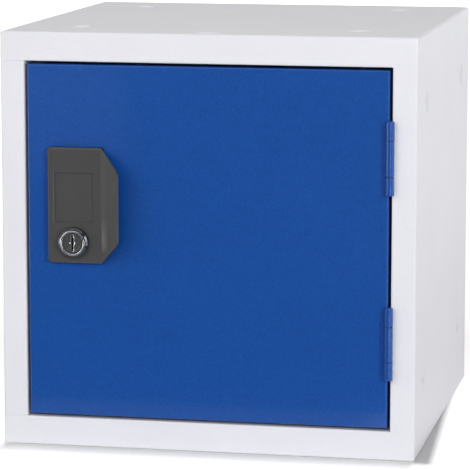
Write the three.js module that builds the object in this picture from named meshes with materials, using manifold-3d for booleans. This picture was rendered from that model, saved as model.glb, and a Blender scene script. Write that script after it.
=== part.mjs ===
// Cube locker: a folded sheet-steel cube with a hinged door, a cam lock and a moulded lock housing.
// Millimetres. +X right, +Y towards the back, +Z up.
// The origin is the centre of the underside. The door is on the front, towards -Y.
import * as THREE from "three";
import { mergeVertices } from "three/addons/utils/BufferGeometryUtils.js";
import Module from "manifold-3d";

const wasm = await Module();
wasm.setup();

// Body
const BODY_WIDTH = 305;
const BODY_DEPTH = 305;
const BODY_HEIGHT = 305;
const SHEET = 1;
const BEND_RADIUS = 1.8;
const OPENING_BEND_RADIUS = 1.2;
const SIDE_FLANGE = 18;
const RAIL_HEIGHT = 21.5;
const JAMB_DEPTH = 19.5;
const STOP_LIP = 9;
const REAR_FLANGE = 14;
const SIDE_LAP = 15;
const LAP_RELIEF = 14;
const BACK_INSET = 1.5;
const SEAM_GAP = 0.05;
const CORNER_RELIEF = 0.5;

// Dished holes that take the bolts between neighbouring lockers
const LINK_INSET = 50;
const FRONT_LINK_INSET = 12;
const DISH_RADIUS = 9;
const DISH_FLOOR_RADIUS = 5.8;
const DISH_DEPTH = 1.1;
const LINK_HOLE_RADIUS = 3.2;

// Door
const DOOR_GAP = 2;
const DOOR_DEPTH = 16;
const DOOR_RETURN = 12;

// Hinges
const HINGE_LENGTH = 52.5;
const HINGE_INSET = 36;
const HINGE_AXIS_OUT = 2.5;
const KNUCKLE_RADIUS = 3;
const END_KNUCKLE = 13.2;
const KNUCKLE_GAP = 0.35;
const HINGE_PIN_RADIUS = 1.8;
const HINGE_PIN_CLEARANCE = 0.1;
const PIN_END = 0.5;
const PIN_CHAMFER = 0.4;
const LEAF_THICKNESS = 0.8;
const LEAF_REACH = 14;
const LEAF_KNUCKLE_CLEARANCE = 0.4;
const LEAF_ROOT = 1;

// Rivets through the hinge leaf and the jamb
const RIVET_RADIUS = 1.5;
const RIVET_HEAD_RADIUS = 2.6;
const RIVET_TAIL_RADIUS = 2.8;
const RIVET_TAIL = 1.4;
const RIVET_CLEARANCE = 0.12;
const RIVET_INSET = 9;
const RIVET_SETBACK = 9;

// Lock housing
const HOUSING_INSET = 16;
const HOUSING_BASE = 113.8;
const HOUSING_WIDTH = 40;
const HOUSING_TALL = 84.4;
const HOUSING_HEIGHT = 5;
const HOUSING_WALL = 2.4;
const HOUSING_CORNER = 3;
const HOUSING_EDGE = 1.8;
const LOCK_INSET = 19.5;
const WING_REACH = 14;
const WING_RISE = 12;
const WING_THICKNESS = 2.4;
const WING_CHAMFER = 16.3;
const WING_CORNER = 3;
const WING_EDGE_SHARE = 0.25;
const CREASE_BLEND = 1.6;
const LABEL_WIDTH = 29.4;
const LABEL_TALL = 36.4;
const LABEL_BASE = 29.8;
const LABEL_DEPTH = 1;
const LABEL_DRAFT = 0.4;

// Housing screws
const BOSS_RADIUS = 4;
const LOWER_BOSS = 36;
const UPPER_BOSS_DROP = 10.4;
const SCREW_RADIUS = 1.9;
const SCREW_CLEARANCE = 0.2;
const SCREW_HEAD_RADIUS = 3.7;
const SCREW_HEAD = 2.4;
const SCREW_REACH = 3;
const SCREW_SLOT_WIDTH = 1;
const SCREW_SLOT_DEPTH = 1.1;

// Cam lock
const LOCK_RISE = 15.4;
const RING_HEIGHT = 5.5;
const RING_RADIUS = 9.25;
const RING_ROUND = 0.5;
const HEAD_RADIUS = 11.25;
const HEAD_RIM = 0.6;
const FACE_RADIUS = 7.5;
const FACE_SINK = 0.7;
const FACE_THICKNESS = 3;
const BORE_RADIUS = 6.5;
const BARREL_RADIUS = 9.5;
const BARREL_FLATS = 16;
const BARREL_BEHIND = 18.5;
const BARREL_CLEARANCE = 0.25;
const PLUG_CLEARANCE = 0.1;
const KEYWAY_WIDTH = 1.9;
const KEYWAY_TALL = 11.4;
const KEYWAY_BULGE = 1.7;
const KEYWAY_DEPTH = 7;
const TAIL_SIZE = 7.6;
const TAIL_SHORT = 0.2;
const TAIL_CLEARANCE = 0.15;
const NUT_FLATS = 24;
const NUT_THICKNESS = 4;

// Cam
const CAM_CLEARANCE = 0.7;
const CAM_THICKNESS = 2.2;
const CAM_HUB_RADIUS = 8.5;
const CAM_LENGTH = 34;
const CAM_TIP_WIDTH = 12;
const CAM_TIP_ROUND = 3;
const CAM_SCREW_RADIUS = 2.4;
const CAM_SCREW_DEPTH = 6;
const CAM_SCREW_FLATS = 8;
const CAM_SCREW_HEAD = 3.2;
const CAM_SCREW_WASHER_RADIUS = 5.6;
const CAM_SCREW_WASHER = 0.8;

// Rubber buffers on the stop lip
const BUFFER_INSET = 42;
const BUFFER_RADIUS = 3.6;
const BUFFER_CLEARANCE = 0.3;
const BUFFER_ROUND = 0.6;
const BUFFER_STEM_RADIUS = 1.6;
const BUFFER_STEM_CLEARANCE = 0.1;
const BUFFER_BULB_RADIUS = 2.3;
const BUFFER_BULB = 1.6;

// How finely round shapes are cut into flats
const BEND_STEPS = 4;
const FINE_SIDES = 40;
const ROUND_SIDES = 24;
const DISH_SIDES = 16;
const FASTENER_SIDES = 16;
const HEX_SIDES = 6;
const CURVE_STEPS = 4;

// How far a cutting tool reaches past the faces it cuts
const OVERRUN = 2;

// Places that several pieces share
const HALF_WIDTH = BODY_WIDTH / 2;
const HALF_DEPTH = BODY_DEPTH / 2;
const FRONT = -HALF_DEPTH;
const HALF_SHEET = SHEET / 2;
const RAIL_TOP = BODY_HEIGHT - RAIL_HEIGHT;
const OPENING_HALF = HALF_WIDTH - SIDE_FLANGE;
const REAR_FACE = HALF_DEPTH - SHEET;
const LAP_FACE = HALF_WIDTH - SHEET;
const LIP_BACK = FRONT + JAMB_DEPTH;

const DOOR_HALF = OPENING_HALF - DOOR_GAP;
const DOOR_BOTTOM = RAIL_HEIGHT + DOOR_GAP;
const DOOR_TOP = RAIL_TOP - DOOR_GAP;
const DOOR_INSIDE = FRONT + SHEET;
const DOOR_BACK = FRONT + DOOR_DEPTH;

const HINGE_X = OPENING_HALF - DOOR_GAP / 2;
const HINGE_Y = FRONT - HINGE_AXIS_OUT;

const HOUSING_LEFT = HOUSING_INSET - DOOR_HALF;
const HOUSING_BOTTOM = DOOR_BOTTOM + HOUSING_BASE;
const HOUSING_FACE = FRONT - HOUSING_HEIGHT;
const LOCK_X = HOUSING_LEFT + LOCK_INSET;
const LOCK_Z = HOUSING_BOTTOM + LOCK_RISE;
const CAM_FRONT = LIP_BACK + CAM_CLEARANCE;
const CAM_BACK = CAM_FRONT + CAM_THICKNESS;
const BOSS_HEIGHTS = [LOWER_BOSS, HOUSING_TALL - UPPER_BOSS_DROP];

// Axis bases: the images of a shape's own x, its own y and its depth
const X = new THREE.Vector3(1, 0, 0);
const Y = new THREE.Vector3(0, 1, 0);
const Z = new THREE.Vector3(0, 0, 1);
const ALONG_X = new THREE.Matrix4().makeBasis(Y, Z, X);
const UPRIGHT = new THREE.Matrix4().makeBasis(X, Z, Y.clone().negate());
const TO_THE_RIGHT = new THREE.Matrix4().makeBasis(Z, X, Y);
const TO_THE_LEFT = new THREE.Matrix4().makeBasis(Y, X.clone().negate(), Z);

const paint = (color, roughness, metalness) => (
  new THREE.MeshStandardMaterial({ color, roughness, metalness, flatShading: true })
);
const MATERIALS = {
  greyPaint: paint(0xe8e9ed, 0.5, 0),
  bluePaint: paint(0x2350a0, 0.45, 0),
  darkPlastic: paint(0x4b4b4d, 0.55, 0),
  chrome: paint(0xd8dadd, 0.12, 1),
  zinc: paint(0xb4b6b8, 0.35, 1),
  rubber: paint(0x202020, 0.85, 0),
};

// A closed geometry as a solid, with shared vertices merged and the faces pointing out.
function solidFrom(geometry) {
  const bare = geometry.clone();
  bare.deleteAttribute("normal");
  bare.deleteAttribute("uv");
  const merged = mergeVertices(bare);
  const position = merged.getAttribute("position");
  const index = merged.getIndex().array;
  const corners = [new THREE.Vector3(), new THREE.Vector3(), new THREE.Vector3()];
  const triangles = [];
  let volume = 0;
  for (let i = 0; i < index.length; i += 3) {
    const [a, b, c] = [index[i], index[i + 1], index[i + 2]];
    if (a === b || b === c || c === a) continue;
    triangles.push([a, b, c]);
    corners[0].fromBufferAttribute(position, a);
    corners[1].fromBufferAttribute(position, b);
    corners[2].fromBufferAttribute(position, c);
    volume += corners[0].dot(corners[1].cross(corners[2]));
  }
  const outward = triangles.map(([a, b, c]) => (volume < 0 ? [a, c, b] : [a, b, c]));
  return new wasm.Manifold(new wasm.Mesh({
    numProp: 3,
    vertProperties: new Float32Array(position.array),
    triVerts: new Uint32Array(outward.flat()),
  }));
}

function geometryFrom(solid) {
  const mesh = solid.getMesh();
  const geometry = new THREE.BufferGeometry();
  geometry.setAttribute("position", new THREE.BufferAttribute(mesh.vertProperties, 3));
  geometry.setIndex(new THREE.BufferAttribute(mesh.triVerts, 1));
  return geometry;
}

// Two places along an axis, lower first.
function span(a, b) {
  return [Math.min(a, b), Math.max(a, b)];
}

function block([x0, x1], [y0, y1], [z0, z1]) {
  const geometry = new THREE.BoxGeometry(x1 - x0, y1 - y0, z1 - z0);
  geometry.translate((x0 + x1) / 2, (y0 + y1) / 2, (z0 + z1) / 2);
  return solidFrom(geometry);
}

// A shape drawn in X and Y, run along Z.
function runAlongZ(shape, [z0, z1]) {
  const geometry = new THREE.ExtrudeGeometry(shape, {
    depth: z1 - z0,
    bevelEnabled: false,
    curveSegments: CURVE_STEPS,
  });
  geometry.translate(0, 0, z0);
  return solidFrom(geometry);
}

// A shape drawn in Y and Z, run along X.
function runAlongX(shape, [x0, x1]) {
  const geometry = new THREE.ExtrudeGeometry(shape, {
    depth: x1 - x0,
    bevelEnabled: false,
    curveSegments: CURVE_STEPS,
  });
  geometry.applyMatrix4(ALONG_X);
  geometry.translate(x0, 0, 0);
  return solidFrom(geometry);
}

// A shape drawn in X and Z, run along Y.
function runAlongY(shape, [y0, y1]) {
  const geometry = new THREE.ExtrudeGeometry(shape, {
    depth: y1 - y0,
    bevelEnabled: false,
    curveSegments: CURVE_STEPS,
  });
  geometry.applyMatrix4(UPRIGHT);
  geometry.translate(0, y1, 0);
  return solidFrom(geometry);
}

// A closed outline of [radius, height] points, turned about its height.
function turned(outline, sides) {
  const points = outline.map(([radius, height]) => new THREE.Vector2(radius, height));
  points.push(points[0].clone());
  return new THREE.LatheGeometry(points, sides);
}

function cylinderAlongY(radius, [x, z], [y0, y1], sides) {
  const geometry = new THREE.CylinderGeometry(radius, radius, y1 - y0, sides);
  geometry.translate(x, (y0 + y1) / 2, z);
  return solidFrom(geometry);
}

// The section of a folded sheet that follows a line through the middle of its thickness.
// A point may carry its own outer bend radius as a third value.
function sheetShape(line, thickness, bend) {
  const half = thickness / 2;
  const points = line.map(([a, b]) => new THREE.Vector2(a, b));
  const leftSide = [];
  const rightSide = [];
  const heading = (from, to) => to.clone().sub(from).normalize();
  const leftOf = (way) => new THREE.Vector2(-way.y, way.x);
  points.forEach((corner, index) => {
    const isEnd = index === 0 || index === points.length - 1;
    if (isEnd) {
      const way = index === 0 ? heading(corner, points[1]) : heading(points[index - 1], corner);
      leftSide.push(corner.clone().addScaledVector(leftOf(way), half));
      rightSide.push(corner.clone().addScaledVector(leftOf(way), -half));
      return;
    }
    const into = heading(points[index - 1], corner);
    const out = heading(corner, points[index + 1]);
    const turn = Math.atan2(into.cross(out), into.dot(out));
    const side = Math.sign(turn);
    const middle = (line[index][2] ?? bend) - half;
    const start = corner.clone().addScaledVector(into, -middle * Math.tan(Math.abs(turn) / 2));
    const centre = start.clone().addScaledVector(leftOf(into), side * middle);
    const spoke = leftOf(into).multiplyScalar(-side);
    for (let step = 0; step <= BEND_STEPS; step += 1) {
      const ray = spoke.clone().rotateAround(new THREE.Vector2(), turn * step / BEND_STEPS);
      leftSide.push(centre.clone().addScaledVector(ray, middle - side * half));
      rightSide.push(centre.clone().addScaledVector(ray, middle + side * half));
    }
  });
  return new THREE.Shape(leftSide.concat(rightSide.reverse()));
}

// An outline whose corners, given as [x, y, radius], are rounded.
function roundedShape(corners) {
  const shape = new THREE.Shape();
  corners.forEach(([x, y, radius], index) => {
    const corner = new THREE.Vector2(x, y);
    const before = new THREE.Vector2(...corners.at(index - 1));
    const after = new THREE.Vector2(...corners[(index + 1) % corners.length]);
    const start = corner.clone().addScaledVector(before.sub(corner).normalize(), radius);
    const end = corner.clone().addScaledVector(after.sub(corner).normalize(), radius);
    if (index === 0) shape.moveTo(start.x, start.y);
    else shape.lineTo(start.x, start.y);
    if (radius > 0) shape.quadraticCurveTo(corner.x, corner.y, end.x, end.y);
  });
  shape.closePath();
  return shape;
}

const locker = new THREE.Group();
const door = new THREE.Group();
locker.add(door);

function add(parent, name, solid, material) {
  const mesh = new THREE.Mesh(geometryFrom(solid), material);
  mesh.name = name;
  parent.add(mesh);
  return mesh;
}

// The body's plan and front outlines, which dress its outer corners round.
function bodyEnvelope() {
  const plan = roundedShape([
    [-HALF_WIDTH, FRONT, BEND_RADIUS],
    [HALF_WIDTH, FRONT, BEND_RADIUS],
    [HALF_WIDTH, HALF_DEPTH, 0],
    [-HALF_WIDTH, HALF_DEPTH, 0],
  ]);
  const elevation = roundedShape([
    [-HALF_WIDTH, 0, BEND_RADIUS],
    [HALF_WIDTH, 0, BEND_RADIUS],
    [HALF_WIDTH, BODY_HEIGHT, BEND_RADIUS],
    [-HALF_WIDTH, BODY_HEIGHT, BEND_RADIUS],
  ]);
  return runAlongZ(plan, [0, BODY_HEIGHT]).intersect(runAlongY(elevation, [FRONT, HALF_DEPTH]));
}

// A dished hole at the origin in a sheet whose outer face is at height 0 and looks up.
const DISH_OUTLINE = [
  [DISH_RADIUS + SHEET, 0],
  [DISH_RADIUS, 0],
  [DISH_FLOOR_RADIUS, -DISH_DEPTH],
  [LINK_HOLE_RADIUS, -DISH_DEPTH],
  [LINK_HOLE_RADIUS, -DISH_DEPTH - SHEET],
  [DISH_FLOOR_RADIUS, -DISH_DEPTH - SHEET],
  [DISH_RADIUS, -SHEET],
  [DISH_RADIUS + SHEET, -SHEET],
];

function pressDish(panel, basis, place) {
  const cutter = new THREE.CylinderGeometry(
    DISH_RADIUS + HALF_SHEET,
    DISH_RADIUS + HALF_SHEET,
    SHEET + OVERRUN,
    DISH_SIDES,
  );
  const dish = turned(DISH_OUTLINE, DISH_SIDES);
  for (const geometry of [cutter, dish]) {
    geometry.applyMatrix4(basis);
    geometry.translate(...place);
  }
  return panel.subtract(solidFrom(cutter)).add(solidFrom(dish));
}

// The top panel with its front rail. The bottom panel is the same piece turned over.
function railPanel() {
  const returnEnd = FRONT + JAMB_DEPTH;
  const plateHalf = LAP_FACE - SEAM_GAP - BEND_RADIUS;
  const returnHalf = OPENING_HALF - CORNER_RELIEF;
  const rearFlangeHalf = HALF_WIDTH - REAR_FLANGE - CORNER_RELIEF;
  const rearMiddle = REAR_FACE - SEAM_GAP - HALF_SHEET;
  const topMiddle = BODY_HEIGHT - HALF_SHEET;
  const lengthwise = sheetShape([
    [returnEnd, RAIL_TOP + HALF_SHEET],
    [FRONT + HALF_SHEET, RAIL_TOP + HALF_SHEET, OPENING_BEND_RADIUS],
    [FRONT + HALF_SHEET, topMiddle],
    [rearMiddle, topMiddle],
    [rearMiddle, BODY_HEIGHT - REAR_FLANGE],
  ], SHEET, BEND_RADIUS);
  const rail = sheetShape([
    [FRONT + HALF_SHEET, RAIL_TOP + SEAM_GAP],
    [FRONT + HALF_SHEET, topMiddle],
    [FRONT + BEND_RADIUS, topMiddle],
  ], SHEET, BEND_RADIUS);
  const bendBack = rearMiddle - BEND_RADIUS;
  const belowBend = [RAIL_TOP, BODY_HEIGHT - BEND_RADIUS];
  let panel = runAlongX(lengthwise, [-plateHalf, plateHalf]);
  for (const side of [-1, 1]) {
    const notch = span(side * returnHalf, side * HALF_WIDTH);
    const rearNotch = span(side * rearFlangeHalf, side * HALF_WIDTH);
    const lap = sheetShape([
      [side * (plateHalf - SHEET), topMiddle],
      [side * (plateHalf + BEND_RADIUS - HALF_SHEET), topMiddle],
      [side * (plateHalf + BEND_RADIUS - HALF_SHEET), BODY_HEIGHT - SIDE_LAP],
    ], SHEET, BEND_RADIUS);
    panel = panel
      .subtract(block(notch, [FRONT, returnEnd + OVERRUN], [RAIL_TOP, RAIL_TOP + BEND_RADIUS]))
      .subtract(block(rearNotch, [bendBack, HALF_DEPTH], belowBend))
      .add(runAlongX(rail, notch))
      .add(runAlongY(lap, [FRONT + HALF_SHEET, REAR_FACE - LAP_RELIEF]));
  }
  panel = panel.intersect(bodyEnvelope());
  const holes = [
    [-HALF_WIDTH + LINK_INSET, FRONT + LINK_INSET],
    [HALF_WIDTH - LINK_INSET, FRONT + LINK_INSET],
    [-HALF_WIDTH + LINK_INSET, HALF_DEPTH - LINK_INSET],
    [HALF_WIDTH - LINK_INSET, HALF_DEPTH - LINK_INSET],
    [0, FRONT + FRONT_LINK_INSET],
  ];
  for (const [x, y] of holes) panel = pressDish(panel, UPRIGHT, [x, y, BODY_HEIGHT]);
  return panel;
}

function addRailPanels() {
  const panel = railPanel();
  add(locker, "top_panel", panel, MATERIALS.greyPaint);
  const bottom = add(locker, "bottom_panel", panel, MATERIALS.greyPaint);
  bottom.rotation.y = Math.PI;
  bottom.position.z = BODY_HEIGHT;
}

// A side panel: rear flange, side, front flange and jamb, with a stop lip on the lock side.
function sidePanel(side, hasLip) {
  const rearMiddle = REAR_FACE - SEAM_GAP - HALF_SHEET;
  const sideMiddle = side * (HALF_WIDTH - HALF_SHEET);
  const jambMiddle = side * (OPENING_HALF + HALF_SHEET);
  const lipMiddle = LIP_BACK - HALF_SHEET;
  const line = [
    [side * (HALF_WIDTH - REAR_FLANGE), rearMiddle],
    [sideMiddle, rearMiddle],
    [sideMiddle, FRONT + HALF_SHEET],
    [jambMiddle, FRONT + HALF_SHEET, OPENING_BEND_RADIUS],
  ];
  if (hasLip) line.push([jambMiddle, lipMiddle], [side * (OPENING_HALF - STOP_LIP), lipMiddle]);
  else line.push([jambMiddle, LIP_BACK]);
  const ends = [BEND_RADIUS, BODY_HEIGHT - BEND_RADIUS];
  let panel = runAlongZ(sheetShape(line, SHEET, BEND_RADIUS), ends);
  const innermost = side * (OPENING_HALF - STOP_LIP - OVERRUN);
  const within = span(innermost, side * LAP_FACE);
  const across = span(innermost, side * (HALF_WIDTH + OVERRUN));
  const zones = [[-OVERRUN, RAIL_HEIGHT], [RAIL_TOP, BODY_HEIGHT + OVERRUN]];
  for (const zone of zones) {
    panel = panel
      .subtract(block(within, [FRONT - OVERRUN, LIP_BACK + OVERRUN], zone))
      .subtract(block(across, [FRONT - OVERRUN, FRONT + SHEET + SEAM_GAP], zone));
  }
  panel = panel.intersect(bodyEnvelope());
  const basis = side > 0 ? TO_THE_RIGHT : TO_THE_LEFT;
  for (const y of [FRONT + LINK_INSET, HALF_DEPTH - LINK_INSET]) {
    for (const z of [LINK_INSET, BODY_HEIGHT - LINK_INSET]) {
      panel = pressDish(panel, basis, [side * HALF_WIDTH, y, z]);
    }
  }
  return panel;
}

function bufferHeights() {
  return [DOOR_BOTTOM + BUFFER_INSET, DOOR_TOP - BUFFER_INSET];
}

function bufferX() {
  return -OPENING_HALF + STOP_LIP / 2 + HALF_SHEET;
}

function hingeHeights() {
  return [DOOR_BOTTOM + HINGE_INSET + HINGE_LENGTH / 2, DOOR_TOP - HINGE_INSET - HINGE_LENGTH / 2];
}

function rivetOffsets() {
  return [RIVET_INSET - HINGE_LENGTH / 2, HINGE_LENGTH / 2 - RIVET_INSET];
}

// The countersunk hole that a rivet passes, drawn from the leaf's inner face.
function rivetHole() {
  const holeRadius = RIVET_RADIUS + RIVET_CLEARANCE;
  const mouthRadius = RIVET_HEAD_RADIUS + RIVET_CLEARANCE;
  return [
    [0, -OVERRUN],
    [mouthRadius, -OVERRUN],
    [mouthRadius, 0],
    [holeRadius, LEAF_THICKNESS],
    [holeRadius, LEAF_THICKNESS + SHEET + OVERRUN],
    [0, LEAF_THICKNESS + SHEET + OVERRUN],
  ];
}

function rivetAt(outline, z) {
  const geometry = turned(outline, FASTENER_SIDES);
  geometry.applyMatrix4(TO_THE_RIGHT);
  geometry.translate(OPENING_HALF - LEAF_THICKNESS, FRONT + RIVET_SETBACK, z);
  return solidFrom(geometry);
}

function addSidePanels() {
  let left = sidePanel(-1, true);
  for (const z of bufferHeights()) {
    const reach = [LIP_BACK - SHEET - OVERRUN, LIP_BACK + OVERRUN];
    const radius = BUFFER_STEM_RADIUS + BUFFER_STEM_CLEARANCE;
    left = left.subtract(cylinderAlongY(radius, [bufferX(), z], reach, FASTENER_SIDES));
  }
  let right = sidePanel(1, false);
  for (const centre of hingeHeights()) {
    for (const offset of rivetOffsets()) {
      right = right.subtract(rivetAt(rivetHole(), centre + offset));
    }
  }
  add(locker, "left_side_panel", left, MATERIALS.greyPaint);
  add(locker, "right_side_panel", right, MATERIALS.greyPaint);
}

function addBackPanel() {
  const half = HALF_WIDTH - BACK_INSET;
  const plate = block([-half, half], [REAR_FACE, HALF_DEPTH], [BACK_INSET, BODY_HEIGHT - BACK_INSET]);
  add(locker, "back_panel", plate, MATERIALS.greyPaint);
}

// Rubber buffers: a round pad in front of the lip, a stem through it and a bulb behind it.
function addBuffers() {
  const padFront = DOOR_BACK + BUFFER_CLEARANCE;
  const lipFront = LIP_BACK - SHEET;
  const outline = [
    [0, padFront],
    [BUFFER_RADIUS - BUFFER_ROUND, padFront],
    [BUFFER_RADIUS, padFront + BUFFER_ROUND],
    [BUFFER_RADIUS, lipFront],
    [BUFFER_STEM_RADIUS, lipFront],
    [BUFFER_STEM_RADIUS, LIP_BACK],
    [BUFFER_BULB_RADIUS, LIP_BACK],
    [BUFFER_STEM_RADIUS, LIP_BACK + BUFFER_BULB],
    [0, LIP_BACK + BUFFER_BULB],
  ];
  const buffer = solidFrom(turned(outline, FASTENER_SIDES));
  const names = ["lower_door_buffer", "upper_door_buffer"];
  bufferHeights().forEach((z, index) => {
    const mesh = add(locker, names[index], buffer, MATERIALS.rubber);
    mesh.position.set(bufferX(), 0, z);
  });
}

// The door's outer or inner block: its front edges are folded round on all four sides.
function doorBlock(inset, radius, [y0, y1]) {
  const half = DOOR_HALF - inset;
  const low = DOOR_BOTTOM + inset;
  const high = DOOR_TOP - inset;
  const plan = roundedShape([[-half, y0, radius], [half, y0, radius], [half, y1, 0], [-half, y1, 0]]);
  const section = roundedShape([[y0, low, radius], [y1, low, 0], [y1, high, 0], [y0, high, radius]]);
  return runAlongZ(plan, [low, high]).intersect(runAlongX(section, [-half, half]));
}

// A double-D hole for the lock's threaded body, or the body itself.
function flattedCylinder(radius, flats, [y0, y1]) {
  const slab = block(
    [LOCK_X - radius - OVERRUN, LOCK_X + radius + OVERRUN],
    [y0 - OVERRUN, y1 + OVERRUN],
    [LOCK_Z - flats / 2, LOCK_Z + flats / 2],
  );
  return cylinderAlongY(radius, [LOCK_X, LOCK_Z], [y0, y1], FINE_SIDES).intersect(slab);
}

function addDoorPan() {
  const inside = [DOOR_INSIDE, DOOR_BACK - SHEET];
  const mouthHalf = DOOR_HALF - DOOR_RETURN;
  const mouth = block(
    [-mouthHalf, mouthHalf],
    [DOOR_BACK - SHEET - HALF_SHEET, DOOR_BACK + OVERRUN],
    [DOOR_BOTTOM + DOOR_RETURN, DOOR_TOP - DOOR_RETURN],
  );
  const through = [FRONT - OVERRUN, DOOR_INSIDE + OVERRUN];
  const lockHole = flattedCylinder(
    BARREL_RADIUS + BARREL_CLEARANCE,
    BARREL_FLATS + 2 * BARREL_CLEARANCE,
    through,
  );
  let pan = doorBlock(0, BEND_RADIUS, [FRONT, DOOR_BACK])
    .subtract(doorBlock(SHEET, BEND_RADIUS - SHEET, inside))
    .subtract(mouth)
    .subtract(lockHole);
  for (const height of BOSS_HEIGHTS) {
    const centre = [LOCK_X, HOUSING_BOTTOM + height];
    pan = pan.subtract(cylinderAlongY(SCREW_RADIUS + SCREW_CLEARANCE, centre, through, FASTENER_SIDES));
  }
  add(door, "door_pan", pan, MATERIALS.bluePaint);
}

// A hinge leaf with its knuckles. The leaf lies beside the hinge axis, on the given side of it.
function hingeLeaf(side, knuckles) {
  const halfLength = HINGE_LENGTH / 2;
  const outer = side * DOOR_GAP / 2;
  const inner = side * (DOOR_GAP / 2 - LEAF_THICKNESS);
  const plateX = span(outer, inner);
  const plateStart = KNUCKLE_RADIUS + LEAF_KNUCKLE_CLEARANCE;
  const plateEnd = HINGE_AXIS_OUT + LEAF_REACH;
  let leaf = block(plateX, [plateStart, plateEnd], [-halfLength, halfLength]);
  for (const [z0, z1] of knuckles) {
    const boreRadius = HINGE_PIN_RADIUS + HINGE_PIN_CLEARANCE;
    const ring = turned([
      [boreRadius, z0],
      [KNUCKLE_RADIUS, z0],
      [KNUCKLE_RADIUS, z1],
      [boreRadius, z1],
    ], ROUND_SIDES);
    ring.applyMatrix4(UPRIGHT);
    leaf = leaf
      .add(block(plateX, [KNUCKLE_RADIUS - LEAF_ROOT / 2, plateStart + LEAF_ROOT], [z0, z1]))
      .add(solidFrom(ring));
  }
  return leaf;
}

function addHinges() {
  const halfLength = HINGE_LENGTH / 2;
  const endKnuckle = halfLength - END_KNUCKLE;
  const frameKnuckles = [[-halfLength, -endKnuckle], [endKnuckle, halfLength]];
  const doorKnuckles = [[-endKnuckle + KNUCKLE_GAP, endKnuckle - KNUCKLE_GAP]];
  const pinEnd = halfLength + PIN_END;
  const pinGeometry = turned([
    [0, -pinEnd],
    [HINGE_PIN_RADIUS - PIN_CHAMFER, -pinEnd],
    [HINGE_PIN_RADIUS, -pinEnd + PIN_CHAMFER],
    [HINGE_PIN_RADIUS, pinEnd - PIN_CHAMFER],
    [HINGE_PIN_RADIUS - PIN_CHAMFER, pinEnd],
    [0, pinEnd],
  ], ROUND_SIDES);
  pinGeometry.applyMatrix4(UPRIGHT);
  const pin = solidFrom(pinGeometry);
  const doorLeaf = hingeLeaf(-1, doorKnuckles);
  let frameLeaf = hingeLeaf(1, frameKnuckles);
  for (const offset of rivetOffsets()) {
    const geometry = turned(rivetHole(), FASTENER_SIDES);
    geometry.applyMatrix4(TO_THE_RIGHT);
    geometry.translate(DOOR_GAP / 2 - LEAF_THICKNESS, HINGE_AXIS_OUT + RIVET_SETBACK, offset);
    frameLeaf = frameLeaf.subtract(solidFrom(geometry));
  }
  const names = ["lower", "upper"];
  hingeHeights().forEach((z, index) => {
    const placed = [
      add(locker, `${names[index]}_hinge_frame_leaf`, frameLeaf, MATERIALS.bluePaint),
      add(locker, `${names[index]}_hinge_pin`, pin, MATERIALS.bluePaint),
      add(door, `${names[index]}_hinge_door_leaf`, doorLeaf, MATERIALS.bluePaint),
    ];
    for (const mesh of placed) mesh.position.set(HINGE_X, HINGE_Y, z);
  });
}

// Flush rivets with a set tail behind the jamb.
function addRivets() {
  const jamb = LEAF_THICKNESS + SHEET;
  const outline = [
    [0, 0],
    [RIVET_HEAD_RADIUS, 0],
    [RIVET_RADIUS, LEAF_THICKNESS],
    [RIVET_RADIUS, jamb],
    [RIVET_TAIL_RADIUS, jamb],
    [RIVET_RADIUS, jamb + RIVET_TAIL],
    [0, jamb + RIVET_TAIL],
  ];
  const names = ["lower", "upper"];
  hingeHeights().forEach((centre, index) => {
    rivetOffsets().forEach((offset, place) => {
      const rivet = rivetAt(outline, 0);
      const mesh = add(locker, `${names[index]}_hinge_rivet_${place + 1}`, rivet, MATERIALS.zinc);
      mesh.position.z = centre + offset;
    });
  });
}

// The housing's section across its width: a flat box with a wing that rises over the door.
function housingSection() {
  const slope = Math.hypot(WING_REACH, WING_RISE);
  const along = [WING_REACH / slope, WING_RISE / slope];
  const crease = [HOUSING_WIDTH, HOUSING_HEIGHT];
  const tip = [crease[0] + WING_REACH, crease[1] + WING_RISE];
  const under = [tip[0] + WING_THICKNESS * along[1], tip[1] - WING_THICKNESS * along[0]];
  const foot = HOUSING_WIDTH + HOUSING_WALL / 2;
  const footHeight = under[1] - (under[0] - foot) * WING_RISE / WING_REACH;
  const edgeRound = WING_THICKNESS * WING_EDGE_SHARE;
  const corners = [
    [0, 0, 0],
    [foot, 0, 0],
    [foot, footHeight, CREASE_BLEND],
    [...under, edgeRound],
    [...tip, edgeRound],
    [...crease, CREASE_BLEND],
    [0, HOUSING_HEIGHT, HOUSING_EDGE],
  ];
  return roundedShape(corners.map(([u, h, radius]) => [HOUSING_LEFT + u, FRONT - h, radius]));
}

// The housing seen from the front: round corners on the left, cut corners on the wing.
function housingOutline() {
  const slope = Math.hypot(WING_REACH, WING_RISE);
  const edge = HOUSING_WIDTH + WING_REACH + WING_THICKNESS * WING_RISE / slope;
  const corners = [
    [0, 0, HOUSING_CORNER],
    [HOUSING_WIDTH, 0, CREASE_BLEND],
    [edge, WING_CHAMFER, WING_CORNER],
    [edge, HOUSING_TALL - WING_CHAMFER, WING_CORNER],
    [HOUSING_WIDTH, HOUSING_TALL, CREASE_BLEND],
    [0, HOUSING_TALL, HOUSING_CORNER],
  ];
  return roundedShape(corners.map(([u, v, radius]) => [HOUSING_LEFT + u, HOUSING_BOTTOM + v, radius]));
}

// A block whose outer face, at y0, is wider than its inner face by the draft all round.
function draftedBlock([x0, x1], [y0, y1], [z0, z1], draft) {
  const geometry = new THREE.BoxGeometry(x1 - x0, y1 - y0, z1 - z0);
  const position = geometry.getAttribute("position");
  for (let i = 0; i < position.count; i += 1) {
    if (position.getY(i) < 0) continue;
    position.setX(i, position.getX(i) - Math.sign(position.getX(i)) * draft);
    position.setZ(i, position.getZ(i) - Math.sign(position.getZ(i)) * draft);
  }
  geometry.translate((x0 + x1) / 2, (y0 + y1) / 2, (z0 + z1) / 2);
  return solidFrom(geometry);
}

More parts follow.
